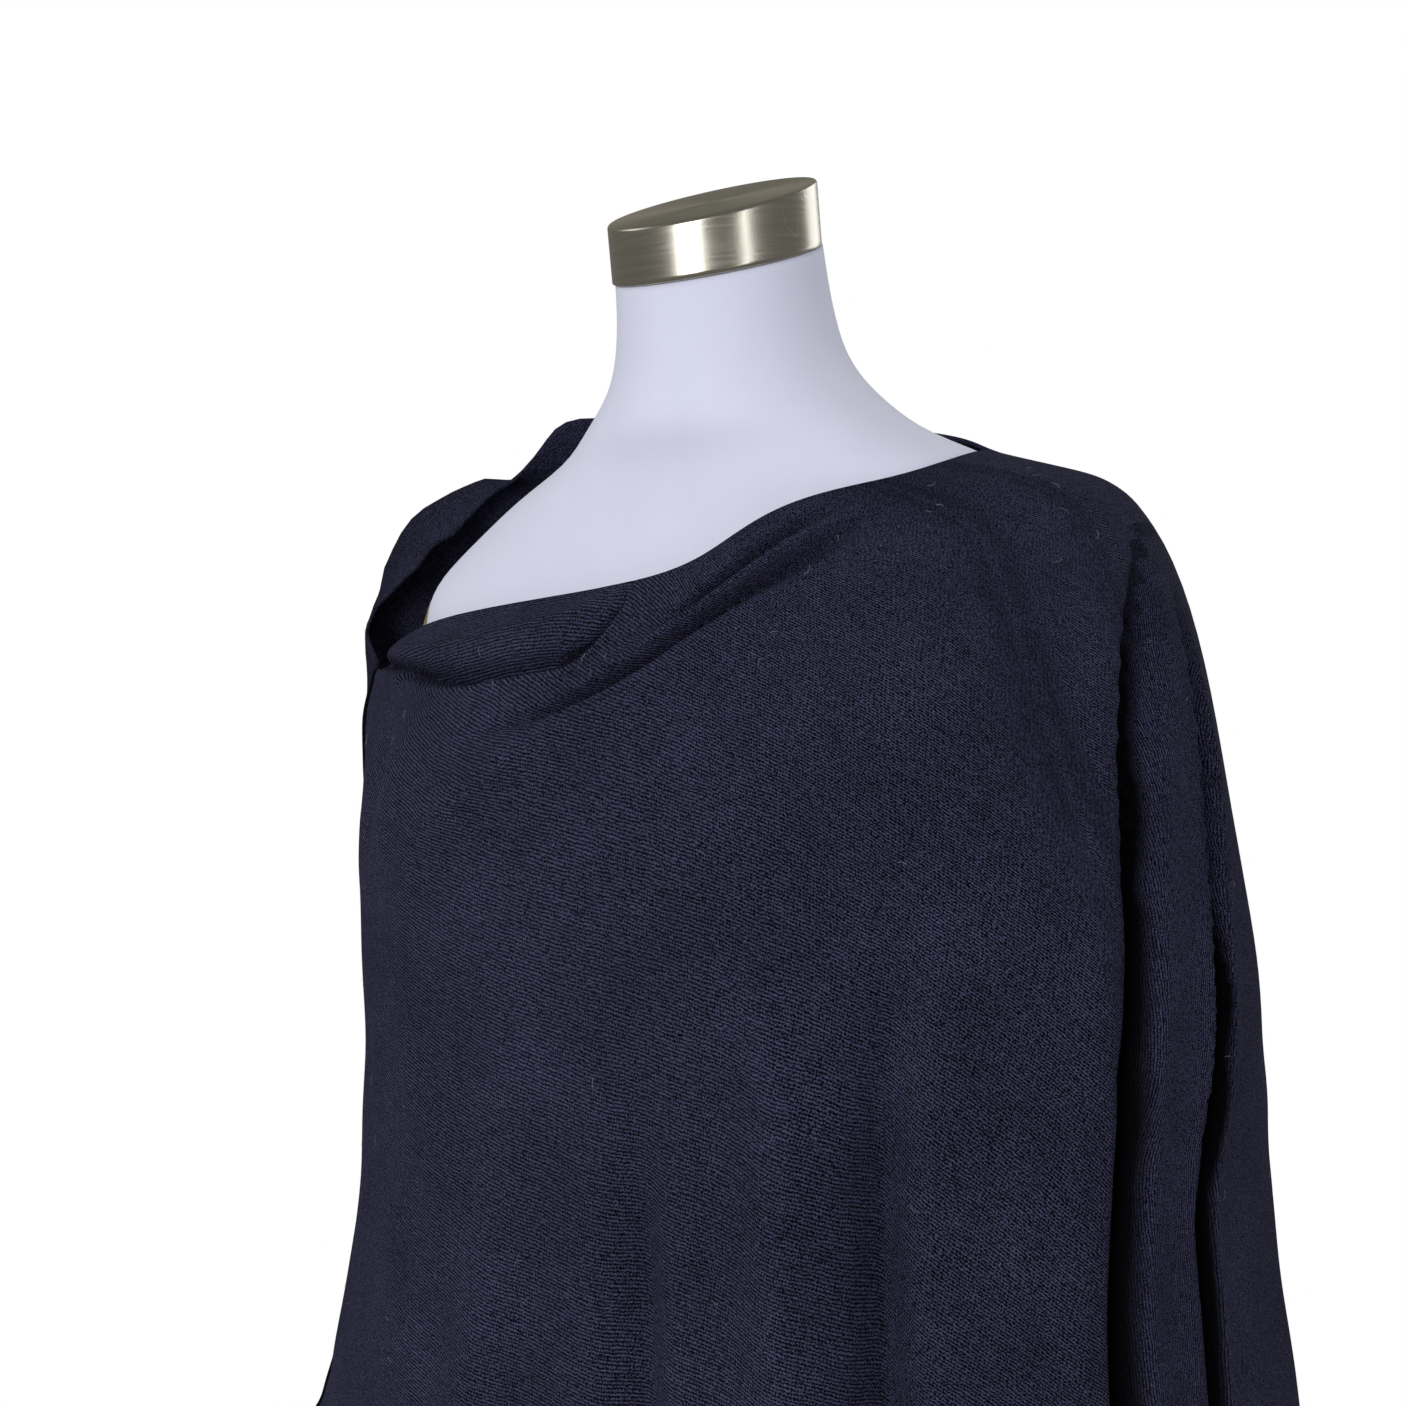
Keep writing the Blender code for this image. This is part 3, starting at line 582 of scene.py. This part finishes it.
def knit():
    """Fine knit: beaded cords with broken dark gaps between them, heathered yarn, fuzz and a soft sheen.

    Across the cords, counted in rows, the gap is darkest where the count is whole. Along them, counted in
    stitches, the beads shift by half a stitch from one cord to the next. Shade is painted into the colour in
    the bottoms of the narrow valleys, almost black there, and the pale fuzz is dimmed with it."""
    finish = Finish("knit", Roughness=0.95, Sheen_Weight=0.03, Sheen_Roughness=0.40,
                    Specular_IOR_Level=0.05)
    finish.shader.inputs["Sheen Tint"].default_value = (0.50, 0.50, 0.80, 1.0)
    cut = finish.node("ShaderNodeUVMap", {"uv_map": "cut"}).outputs[0]
    apart = finish.node("ShaderNodeSeparateXYZ", inputs={"Vector": cut})
    place = finish.object_place()
    sway = finish.noise(place, 60.0, 1.0) - 0.5
    quiver = finish.noise(place, 380.0, 2.0, 0.6) - 0.5
    across = Number(finish, apart.outputs[0]) / STITCH + sway * 1.6 + quiver * 1.3
    down = Number(finish, apart.outputs[1]) / ROW + sway * 1.2 + quiver * 0.85
    row = (down + 0.5).math("FLOOR")
    beat = (across + row * 0.5) * (2.0 * math.pi)
    wave = down + beat.math("SINE") * 0.11
    cord = (wave * (2.0 * math.pi)).math("COSINE") * -0.5 + 0.5
    bead = beat.math("COSINE") * 0.5 + 0.5
    legs = ((wave.math("PINGPONG", 0.5) * 1.1 + across) * (2.0 * math.pi)).math("COSINE") * 0.5 + 0.5
    gap = (1.0 - cord).math("POWER", 2.5) * (0.34 + bead * 0.66)
    grain = finish.noise(place, 1250.0, 2.0, 0.7)
    heather = finish.noise(cut, 300.0, 2.0, 0.65, (0.45, 1.0, 1.0))
    patch = finish.noise(place, 16.0, 3.0, 0.55)
    yarn = (cord * CORD_SHARE + legs * LEG_SHARE + bead * BEAD_SHARE - gap * GAP_SHARE
            + heather * HEATHER_SHARE)
    light = range_map(yarn + (grain - 0.5) * GRAIN_SHARE, 0.13, 0.68)
    colour = finish.mix(light, KNIT_DARK, KNIT_LIGHT)
    worn = range_map(patch, 0.28, 0.74, 0.80, 1.18)
    shade = finish.node("ShaderNodeCombineColor", inputs={0: worn, 1: worn, 2: worn}).outputs[0]
    colour = finish.mix(1.0, colour, shade, "MULTIPLY")
    # painted shade: the knit's colour is pulled to near black in the bottoms of the narrow valleys
    away = finish.number("ShaderNodeAttribute", {"attribute_name": "valley_shade_distance"}, output="Fac")
    depth = range_map(away, *VALLEY_SHADE_FADE, 1.0, 0.0)
    colour = finish.mix(depth, colour, KNIT_VALLEY_SHADE)
    fuzz = range_map(finish.noise(place, 820.0, 3.0, 0.75), 0.645, 0.70)
    # pale fuzz, dimmed where the valley shade is painted
    colour = finish.mix(fuzz * (0.70 - depth * 0.60), colour, KNIT_FUZZ)
    finish.set("Base Color", colour)
    finish.set("Roughness", range_map(grain, 0.2, 0.8, 0.86, 1.0))
    finish.bump(yarn * 1.2 + grain * 0.5, 0.0013, 1.0)
    return finish.material


def lint():
    """Pale loose fibre."""
    finish = Finish("lint", Roughness=0.9, Sheen_Weight=0.4)
    tone = finish.noise(finish.object_place(), 60.0)
    finish.set("Base Color", finish.mix(tone, (0.20, 0.20, 0.24), (0.42, 0.42, 0.47)))
    return finish.material


def jersey():
    """Smooth white stretch jersey with fine upright ribs and faint pull marks."""
    finish = Finish("jersey", Roughness=0.80, Sheen_Weight=0.25, Sheen_Roughness=0.5,
                    Specular_IOR_Level=0.25)
    place = finish.object_place()
    fine = finish.noise(place, 900.0, 2.0, 0.6, (1.0, 1.0, 0.35))
    cloud = finish.noise(place, 9.0, 3.0)
    pulls = finish.noise(place, 70.0, 2.0, 0.5, (1.0, 1.0, 0.12))
    tone = range_map(cloud * 0.6 + pulls * 0.25 + fine * 0.15, 0.30, 0.70)
    finish.set("Base Color", finish.mix(tone, (0.735, 0.745, 0.895), (0.790, 0.800, 0.945)))
    finish.set("Roughness", range_map(fine, 0.2, 0.8, 0.74, 0.88))
    finish.bump(fine * 0.5 + pulls * 0.6, 0.00025, 0.5)
    return finish.material


def brushed_cap():
    """Brushed steel: level hairlines, a few pale scratches, and a duller warm top."""
    finish = Finish("brushed_cap", Metallic=1.0, Roughness=0.25, Anisotropic=0.5)
    place = finish.object_place()
    level = finish.noise(place, 700.0, 2.0, 0.6, (0.03, 0.03, 1.0))
    cloud = finish.noise(place, 30.0, 3.0)
    scratch = finish.noise(place, 60.0, 1.0, 0.5, (1.0, 1.0, 0.25))
    thin = range_map((scratch - 0.5).math("ABSOLUTE"), 0.0, 0.004, 1.0, 0.0) * range_map(cloud, 0.52, 0.60)
    facing = finish.node("ShaderNodeNewGeometry").outputs["Normal"]
    up = finish.number("ShaderNodeSeparateXYZ", inputs={"Vector": facing}, output=2)
    top = range_map(up, 0.55, 0.85)
    side = finish.mix(level, (0.40, 0.375, 0.315), (0.56, 0.54, 0.49))
    side = finish.mix(thin * 0.6, side, (0.80, 0.80, 0.80))
    warm = finish.mix(cloud, (0.430, 0.405, 0.325), (0.490, 0.465, 0.380))
    finish.set("Base Color", finish.mix(top, side, warm))
    finish.set("Roughness", range_map(level + thin * 0.5, 0.2, 0.9, 0.20, 0.30) + top * 0.30)
    finish.bump(level + thin, 0.00005, 0.4)
    return finish.material


def plate_metal():
    """Dull olive-gold metal with a cloudy tarnish."""
    finish = Finish("plate_metal", Metallic=1.0, Roughness=0.4)
    place = finish.object_place()
    cloud = finish.noise(place, 45.0, 4.0)
    finish.set("Base Color", finish.mix(cloud, (0.36, 0.31, 0.15), (0.55, 0.49, 0.28)))
    finish.set("Roughness", range_map(cloud, 0.3, 0.7, 0.32, 0.5))
    finish.bump(finish.noise(place, 900.0), 0.00005, 0.4)
    return finish.material


def satin_steel():
    """Satin steel with fine grain and faint smudges."""
    finish = Finish("satin_steel", Metallic=1.0, Roughness=0.3)
    place = finish.object_place()
    grain = finish.noise(place, 800.0, 2.0, 0.6, (1.0, 1.0, 0.06))
    smudge = finish.noise(place, 14.0, 4.0)
    finish.set("Base Color", finish.mix(grain, (0.52, 0.52, 0.53), (0.66, 0.66, 0.67)))
    finish.set("Roughness", range_map(smudge * 0.7 + grain * 0.3, 0.3, 0.7, 0.24, 0.42))
    finish.bump(grain, 0.00004, 0.4)
    return finish.material


def studio_floor():
    """Pale floor that thins out to nothing at its rim."""
    finish = Finish("studio_floor", Roughness=0.9, Specular_IOR_Level=0.2)
    place = finish.object_place()
    speck = finish.noise(place, 40.0, 3.0)
    finish.set("Base Color", finish.mix(speck, (0.88, 0.88, 0.88), (0.93, 0.93, 0.93)))
    reach = finish.number("ShaderNodeVectorMath", {"operation": "LENGTH"}, {0: place}, output=1)
    finish.set("Alpha", range_map(reach, 0.7, 1.5, 1.0, 0.0))
    return finish.material


# ---------------------------------------------------------------- pieces

def knit_place(angles, downs, points):
    """Place of each point in the knit, in metres: along the cords, and across them.

    The cords run round the body with a slant that grows toward both sides. In the rolled band above the
    crease they follow the neck edge, and past the deep valley they turn nearly upright."""
    start = np.argmin(np.abs(angles - KNIT_START))
    level = np.argmin(np.abs(downs - KNIT_LEVEL))
    around = np.cumsum(np.linalg.norm(np.gradient(points, axis=1), axis=-1), axis=1)
    around = around - around[:, [start]]
    down = np.cumsum(np.linalg.norm(np.gradient(points, axis=0), axis=-1), axis=0)
    fall = down - down[[level]] - points[[level], :, 2]
    even = around[level]
    lean = np.cumsum(np.gradient(even) * np.interp(angles, *zip(*KNIT_SLANT)))
    along = 0.5 * even + 0.5 * around - KNIT_LEAN * fall
    across = fall - lean + lean[start]
    band = downs[:, None] < np.interp(angles, *zip(*BAND_REACH))
    along = np.where(band, around, along)
    across = np.where(band, down + BAND_MOVE, across)
    valley = np.array(MAIN_VALLEY)
    edge = np.interp(downs, valley[:, 1], valley[:, 0], left=PANEL_TURN_BACK)
    panel = angles > edge[:, None]
    turn = math.radians(PANEL_TURN)
    along = np.where(panel, (fall * math.sin(turn) + around * math.cos(turn)) * PANEL_ALONG, along)
    across = np.where(panel, (fall * math.cos(turn) - around * math.sin(turn)) * PANEL_ACROSS, across)
    return np.stack([along, across], axis=-1)


def valley_shade_share(angles, downs):
    """Distance of each point from the nearest narrow valley, as a share of the half width of its painted
    shade.
    """
    share = np.full((len(downs), len(angles)), VALLEY_SHADE_FAR)
    for path, left, right, length in SHADED_VALLEYS:
        path = np.array(path)
        distance = angles[None, :] - np.interp(downs, path[:, 1], path[:, 0])[:, None]
        opened = smooth_step(path[0, 1], path[0, 1] + length, downs)[:, None]
        reach = np.where(distance < 0.0, left, right)
        share = np.minimum(share, np.abs(distance) / reach + VALLEY_SHADE_SHUT * (1.0 - opened))
    return share


def make_seam(points, normals, downs, to_front, to_back):
    """The seam: a low rounded strip along the first column, which bends with the cloth on both sides."""
    turn = np.linspace(-1.0, 1.0, SEAM_POINTS)
    away = np.abs(turn)[None, :, None]
    in_front = turn[None, :, None] < 0.0
    side = np.where(in_front, to_front[:, None], to_back[:, None]) * away
    lean = np.where(in_front, normals[:, 0][:, None], normals[:, -1][:, None])
    ridge = unit(normals[:, 0] + normals[:, -1])
    normal = unit(ridge[:, None] * (1.0 - away) + lean * away)
    reach = SEAM_WIDTH / 2.0 - GAP
    middle = points[:, 0][:, None] + side * reach
    outer = middle + normal * (SEAM_RISE + SEAM_RIDGE * (1.0 - away**2))
    inner = middle - normal * SEAM_UNDER
    strip = outer.shape[:2]
    cut = np.stack([np.broadcast_to(turn * reach, strip), np.broadcast_to(-downs[:, None], strip)], -1)
    seam = wall_piece("side_seam_strip", outer, inner, cut)
    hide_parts("side_seam")
    return seam


def make_poncho():
    """The knitted panel and its seam, with the points and normals of the panel's middle."""
    front = crowded_places(SEAM_ANGLE, MEETING_ANGLE, FRONT_COLUMNS, *FRONT_CROWDING)
    back = crowded_places(MEETING_ANGLE, SEAM_ANGLE + 360.0, COLUMNS - FRONT_COLUMNS + 1, *BACK_CROWDING)
    angles = np.concatenate([front, back[1:]])
    downs = crowded_places(0.0, RING_DEPTHS[-1], ROWS, *NECK_CROWDING)
    points, normals = cloth(angles, downs)
    to_front = unit(points[:, 1] - points[:, 0])
    to_back = unit(points[:, -2] - points[:, 0])
    sheet = points.copy()
    sheet[:, 0] += to_front * SEAM_WIDTH / 2.0
    sheet[:, -1] += to_back * SEAM_WIDTH / 2.0
    half = normals * WALL / 2.0
    piece = wall_piece("poncho_panel", sheet + half, sheet - half, knit_place(angles, downs, points))
    # distance from the narrow valleys, which places the painted shade in the knit
    valley_shade_distance = piece.data.attributes.new("valley_shade_distance", "FLOAT", "POINT")
    share = valley_shade_share(angles, downs).ravel()
    valley_shade_distance.data.foreach_set("value", np.resize(share, len(piece.data.vertices)).astype(np.float32))
    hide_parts("front_half", "back_half")
    return piece, make_seam(points, normals, downs, to_front, to_back), points, normals


def form_section(height, angles):
    """A superellipse round the form at one height: |x/a|^n + |y/b|^n = 1, moved to its middle."""
    table = np.array(FORM_SECTIONS)
    half_width, half_depth, middle, square = spline(table[:, 0], table[:, 1:], [height])[0]
    across = np.sin(np.radians(angles))
    along = -np.cos(np.radians(angles))
    reach = (np.abs(across) ** square + np.abs(along) ** square) ** (-1.0 / square)
    x = half_width * across * reach
    y = middle + half_depth * along * reach
    return np.stack([x, y, np.full_like(x, height)], axis=-1)


def make_torso():
    """Torso and neck: sections up the form, whose top tilts to meet the cap."""
    low = FORM_SECTIONS[0][0]
    heights = np.linspace(low, FORM_TOP, FORM_ROWS)
    angles = np.arange(FORM_COLUMNS) * 360.0 / FORM_COLUMNS
    rings = [form_section(height, angles) for height in heights]
    for height, level in zip(heights, rings):
        tilt = smooth_step(FORM_TOP - FORM_TILT_REACH, FORM_TOP, height) * CAP_BOTTOM_TILT
        level[:, 2] += tilt * level[:, 1]
    centre = np.array([0.0, FORM_SECTIONS[0][3], low])
    rings = [centre + (rings[0] - centre) * FORM_FOOT_SHARE] + rings
    piece = ring_piece("form_cover", rings)
    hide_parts("form_torso")
    return piece


def make_cap():
    """Oval cap: levels of rising tilt, with a rounded upper rim."""
    angles = np.radians(np.arange(CAP_COLUMNS) * 360.0 / CAP_COLUMNS)
    across = np.sin(angles)
    along = -CAP_DEPTH_SHARE * np.cos(angles)

    def level(radius, height, tilt):
        y = radius * along
        return np.stack([radius * across, y, height + tilt * y], axis=-1)

    rings = [level(CAP_RADIUS - CAP_BEVEL, CAP_BOTTOM, CAP_BOTTOM_TILT)]
    low = CAP_BOTTOM + CAP_BEVEL
    top = CAP_TOP - CAP_ROUND
    for share in np.linspace(0.0, 1.0, CAP_ROWS):
        tilt = CAP_BOTTOM_TILT + (CAP_TOP_TILT - CAP_BOTTOM_TILT) * share
        rings.append(level(CAP_RADIUS, low + (top - low) * share, tilt))
    for turn in np.radians(np.linspace(15.0, 90.0, CAP_ROUND_ROWS)):
        inward = CAP_ROUND * (1.0 - math.cos(turn))
        rings.append(level(CAP_RADIUS - inward, top + CAP_ROUND * math.sin(turn), CAP_TOP_TILT))
    for share in (0.6, 0.02):
        rings.append(level(CAP_RADIUS * share, CAP_TOP, CAP_TOP_TILT))
    piece = ring_piece("brushed_neck_cap", rings)
    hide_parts("neck_cap")
    return piece


def turned(name, profile, columns):
    """A solid of revolution about the pole's axis, from points of radius and height."""
    angles = np.radians(np.arange(columns) * 360.0 / columns)
    circle = np.stack([np.cos(angles), np.sin(angles), 0.0 * angles], axis=-1)
    return ring_piece(name, [circle * radius + (0.0, 0.0, height) for radius, height in profile])


def rounded(radius, height, size, first, last, count=5):
    """Points of a quarter round about a centre, from one angle in degrees to another."""
    turn = np.radians(np.linspace(first, last, count))
    return [(radius + size * math.cos(a), height + size * math.sin(a)) for a in turn]


def make_stand():
    """Round base plate with a socket, pole, and tapered collar under the form."""
    base_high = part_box("base_plate")[1]
    pole_low, pole_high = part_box("pole")
    collar_low, collar_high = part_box("pole_collar")
    rim = base_high[0] - PLATE_ROUND
    top = base_high[2]
    base = turned("stand_base", [
        *rounded(rim, PLATE_ROUND, PLATE_ROUND, -90.0, 0.0),
        *rounded(rim, PLATE_THICK - PLATE_ROUND, PLATE_ROUND, 0.0, 90.0),
        (SOCKET_RADIUS + 0.004, PLATE_THICK), (SOCKET_RADIUS + 0.0012, PLATE_THICK + 0.0010),
        (SOCKET_RADIUS, PLATE_THICK + 0.004), (SOCKET_RADIUS - 0.002, top - 0.003),
        *rounded(SOCKET_RADIUS - 0.005, top - SOCKET_ROUND, SOCKET_ROUND, 0.0, 90.0),
    ], 160)
    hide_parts("base_plate")
    radius = pole_high[0]
    pole = turned("stand_pole", [
        (radius - POLE_BEVEL, pole_low[2]), (radius, pole_low[2] + POLE_BEVEL),
        (radius, pole_high[2] - POLE_BEVEL), (radius - POLE_BEVEL, pole_high[2]),
    ], 64)
    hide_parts("pole")
    radius = collar_high[0]
    collar = turned("stand_collar", [
        (radius - 0.009, collar_low[2]), (radius - 0.0078, collar_low[2] + 0.0006),
        (radius - 0.0004, collar_low[2] + 0.0094), (radius, collar_low[2] + 0.011),
        (radius, collar_high[2] - 0.0005), (radius - 0.0005, collar_high[2]),
    ], 96)
    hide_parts("pole_collar")
    return base, pole, collar


def make_lint(points, normals):
    """Loose fibres: short bent threads that lie on the cloth, each a thin three-sided tube."""
    chance = np.random.default_rng(LINT_SEED)
    rows, columns = points.shape[:2]
    along = np.linspace(-1.0, 1.0, LINT_POINTS)
    corner = np.radians(np.arange(LINT_SIDES) * 360.0 / LINT_SIDES)[None, :, None]
    vertices = []
    faces = []
    for fibre in range(LINT_COUNT):
        row = int(chance.integers(4, rows - 30))
        column = int(chance.integers(3, columns - 3))
        centre = points[row, column]
        normal = normals[row, column]
        flat = unit(np.cross(normal, chance.normal(size=3)))
        side = np.cross(normal, flat)
        half = chance.uniform(0.0008, 0.0030)
        bow = chance.uniform(-0.9, 0.9)
        wave = chance.uniform(-0.3, 0.3)
        lift = 0.0013 + chance.uniform(0.0001, 0.0006) * (1.0 - along**2)
        swing = half * (bow * along**2 + wave * along**3)
        path = centre + flat * (along * half)[:, None] + side * swing[:, None] + normal * lift[:, None]
        thick = chance.uniform(0.00005, 0.00010)
        spread = side * np.cos(corner) + normal * np.sin(corner)
        vertices.append((path[:, None] + spread * thick).reshape(-1, 3))
        size = LINT_POINTS * LINT_SIDES
        number = fibre * size + np.arange(size).reshape(LINT_POINTS, LINT_SIDES)
        onward = np.roll(number, -1, axis=1)
        sides = np.stack([number[:-1], onward[:-1], onward[1:], number[1:]], -1).reshape(-1, 4)
        faces += sides.tolist() + [number[0, ::-1].tolist(), number[-1].tolist()]
    return mesh_piece("loose_lint", np.concatenate(vertices), faces)


def give(piece, material):
    """Dress a piece in one material."""
    piece.data.materials.clear()
    piece.data.materials.append(material)


# ---------------------------------------------------------------- build

knit_finish = knit()
steel_finish = satin_steel()
plate_finish = plate_metal()

panel, seam, cloth_points, cloth_normals = make_poncho()
give(panel, knit_finish)
give(seam, knit_finish)
fibres = make_lint(cloth_points, cloth_normals)
give(fibres, lint())
give(make_torso(), jersey())
give(make_cap(), brushed_cap())
for piece in make_stand():
    give(piece, steel_finish)
for node in ("left_shoulder_plate", "right_shoulder_plate"):
    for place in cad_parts[node].material_slots:
        place.material = plate_finish


# ---------------------------------------------------------------- floor, light and camera

def make_floor():
    """A flat disc under the stand."""
    angles = np.radians(np.arange(FLOOR_CORNERS) * 360.0 / FLOOR_CORNERS)
    circle = np.stack([np.cos(angles), np.sin(angles), 0.0 * angles], axis=-1) * FLOOR_RADIUS
    mesh = bpy.data.meshes.new("floor")
    mesh.from_pydata((circle - (0.0, 0.0, FLOOR_DROP)).tolist(), [], [list(range(FLOOR_CORNERS))])
    floor = bpy.data.objects.new("floor", mesh)
    bpy.context.scene.collection.objects.link(floor)
    floor.data.materials.append(studio_floor())


def soft_box(name, azimuth, distance, height, width, tall, power):
    """A rectangular lamp that looks at the chest from a direction round the form."""
    lamp = bpy.data.lights.new(name, "AREA")
    lamp.shape = "RECTANGLE"
    lamp.size = width
    lamp.size_y = tall
    lamp.energy = power
    holder = bpy.data.objects.new(name, lamp)
    bpy.context.scene.collection.objects.link(holder)
    turn = math.radians(azimuth)
    place = np.array([math.sin(turn) * distance, -math.cos(turn) * distance, height])
    back = unit(place - np.array(LAMP_TARGET))
    right = unit(np.cross((0.0, 0.0, 1.0), back))
    up = np.cross(back, right)
    basis = np.eye(4)
    basis[:3, :3] = np.stack([right, up, back], 1)
    basis[:3, 3] = place
    holder.matrix_world = Matrix(basis.tolist())


def make_world():
    """White all round as seen directly, dimmer and even on the cloth, and dimmer still in metal."""
    world = bpy.data.worlds.new("studio")
    bpy.context.scene.world = world
    world.use_nodes = True
    tree = world.node_tree
    tree.nodes.remove(tree.nodes["Background"])

    def background(colour, strength):
        made = tree.nodes.new("ShaderNodeBackground")
        made.inputs[0].default_value = colour
        made.inputs[1].default_value = strength
        return made.outputs[0]

    def choose(share, first, second):
        made = tree.nodes.new("ShaderNodeMixShader")
        for socket, source in zip(made.inputs, (share, first, second)):
            tree.links.new(source, socket)
        return made.outputs[0]

    ray = tree.nodes.new("ShaderNodeLightPath").outputs
    unseen = choose(ray["Is Glossy Ray"], background(*AROUND_CLOTH), background(*AROUND_METAL))
    seen = choose(ray["Is Camera Ray"], unseen, background(*AROUND_SEEN))
    tree.links.new(seen, tree.nodes["World Output"].inputs[0])


def make_camera():
    """Camera at shoulder height in front of the form's left side, looking slightly down."""
    side = np.array([math.cos(CAMERA_AZIMUTH), math.sin(CAMERA_AZIMUTH), 0.0])
    ahead = np.array([-math.sin(CAMERA_AZIMUTH), math.cos(CAMERA_AZIMUTH), 0.0])
    above = np.array([0.0, 0.0, 1.0])
    look = math.cos(CAMERA_PITCH) * ahead - math.sin(CAMERA_PITCH) * above
    head = math.sin(CAMERA_PITCH) * ahead + math.cos(CAMERA_PITCH) * above
    right = math.cos(CAMERA_ROLL) * side - math.sin(CAMERA_ROLL) * head
    up = math.sin(CAMERA_ROLL) * side + math.cos(CAMERA_ROLL) * head
    basis = np.eye(4)
    basis[:3, :3] = np.stack([right, up, -look], 1)
    basis[:3, 3] = side * CAMERA_SIDE - ahead * CAMERA_DISTANCE + above * CAMERA_HEIGHT
    data = bpy.data.cameras.new("camera")
    data.lens = CAMERA_LENS
    data.sensor_width = CAMERA_SENSOR
    data.clip_start = 0.01
    data.clip_end = 50.0
    camera = bpy.data.objects.new("camera", data)
    camera.matrix_world = Matrix(basis.tolist())
    bpy.context.scene.collection.objects.link(camera)
    bpy.context.scene.camera = camera


make_floor()
for lamp_sizes in LAMPS:
    soft_box(*lamp_sizes)
make_world()
make_camera()
bpy.context.scene.view_settings.view_transform = "Standard"
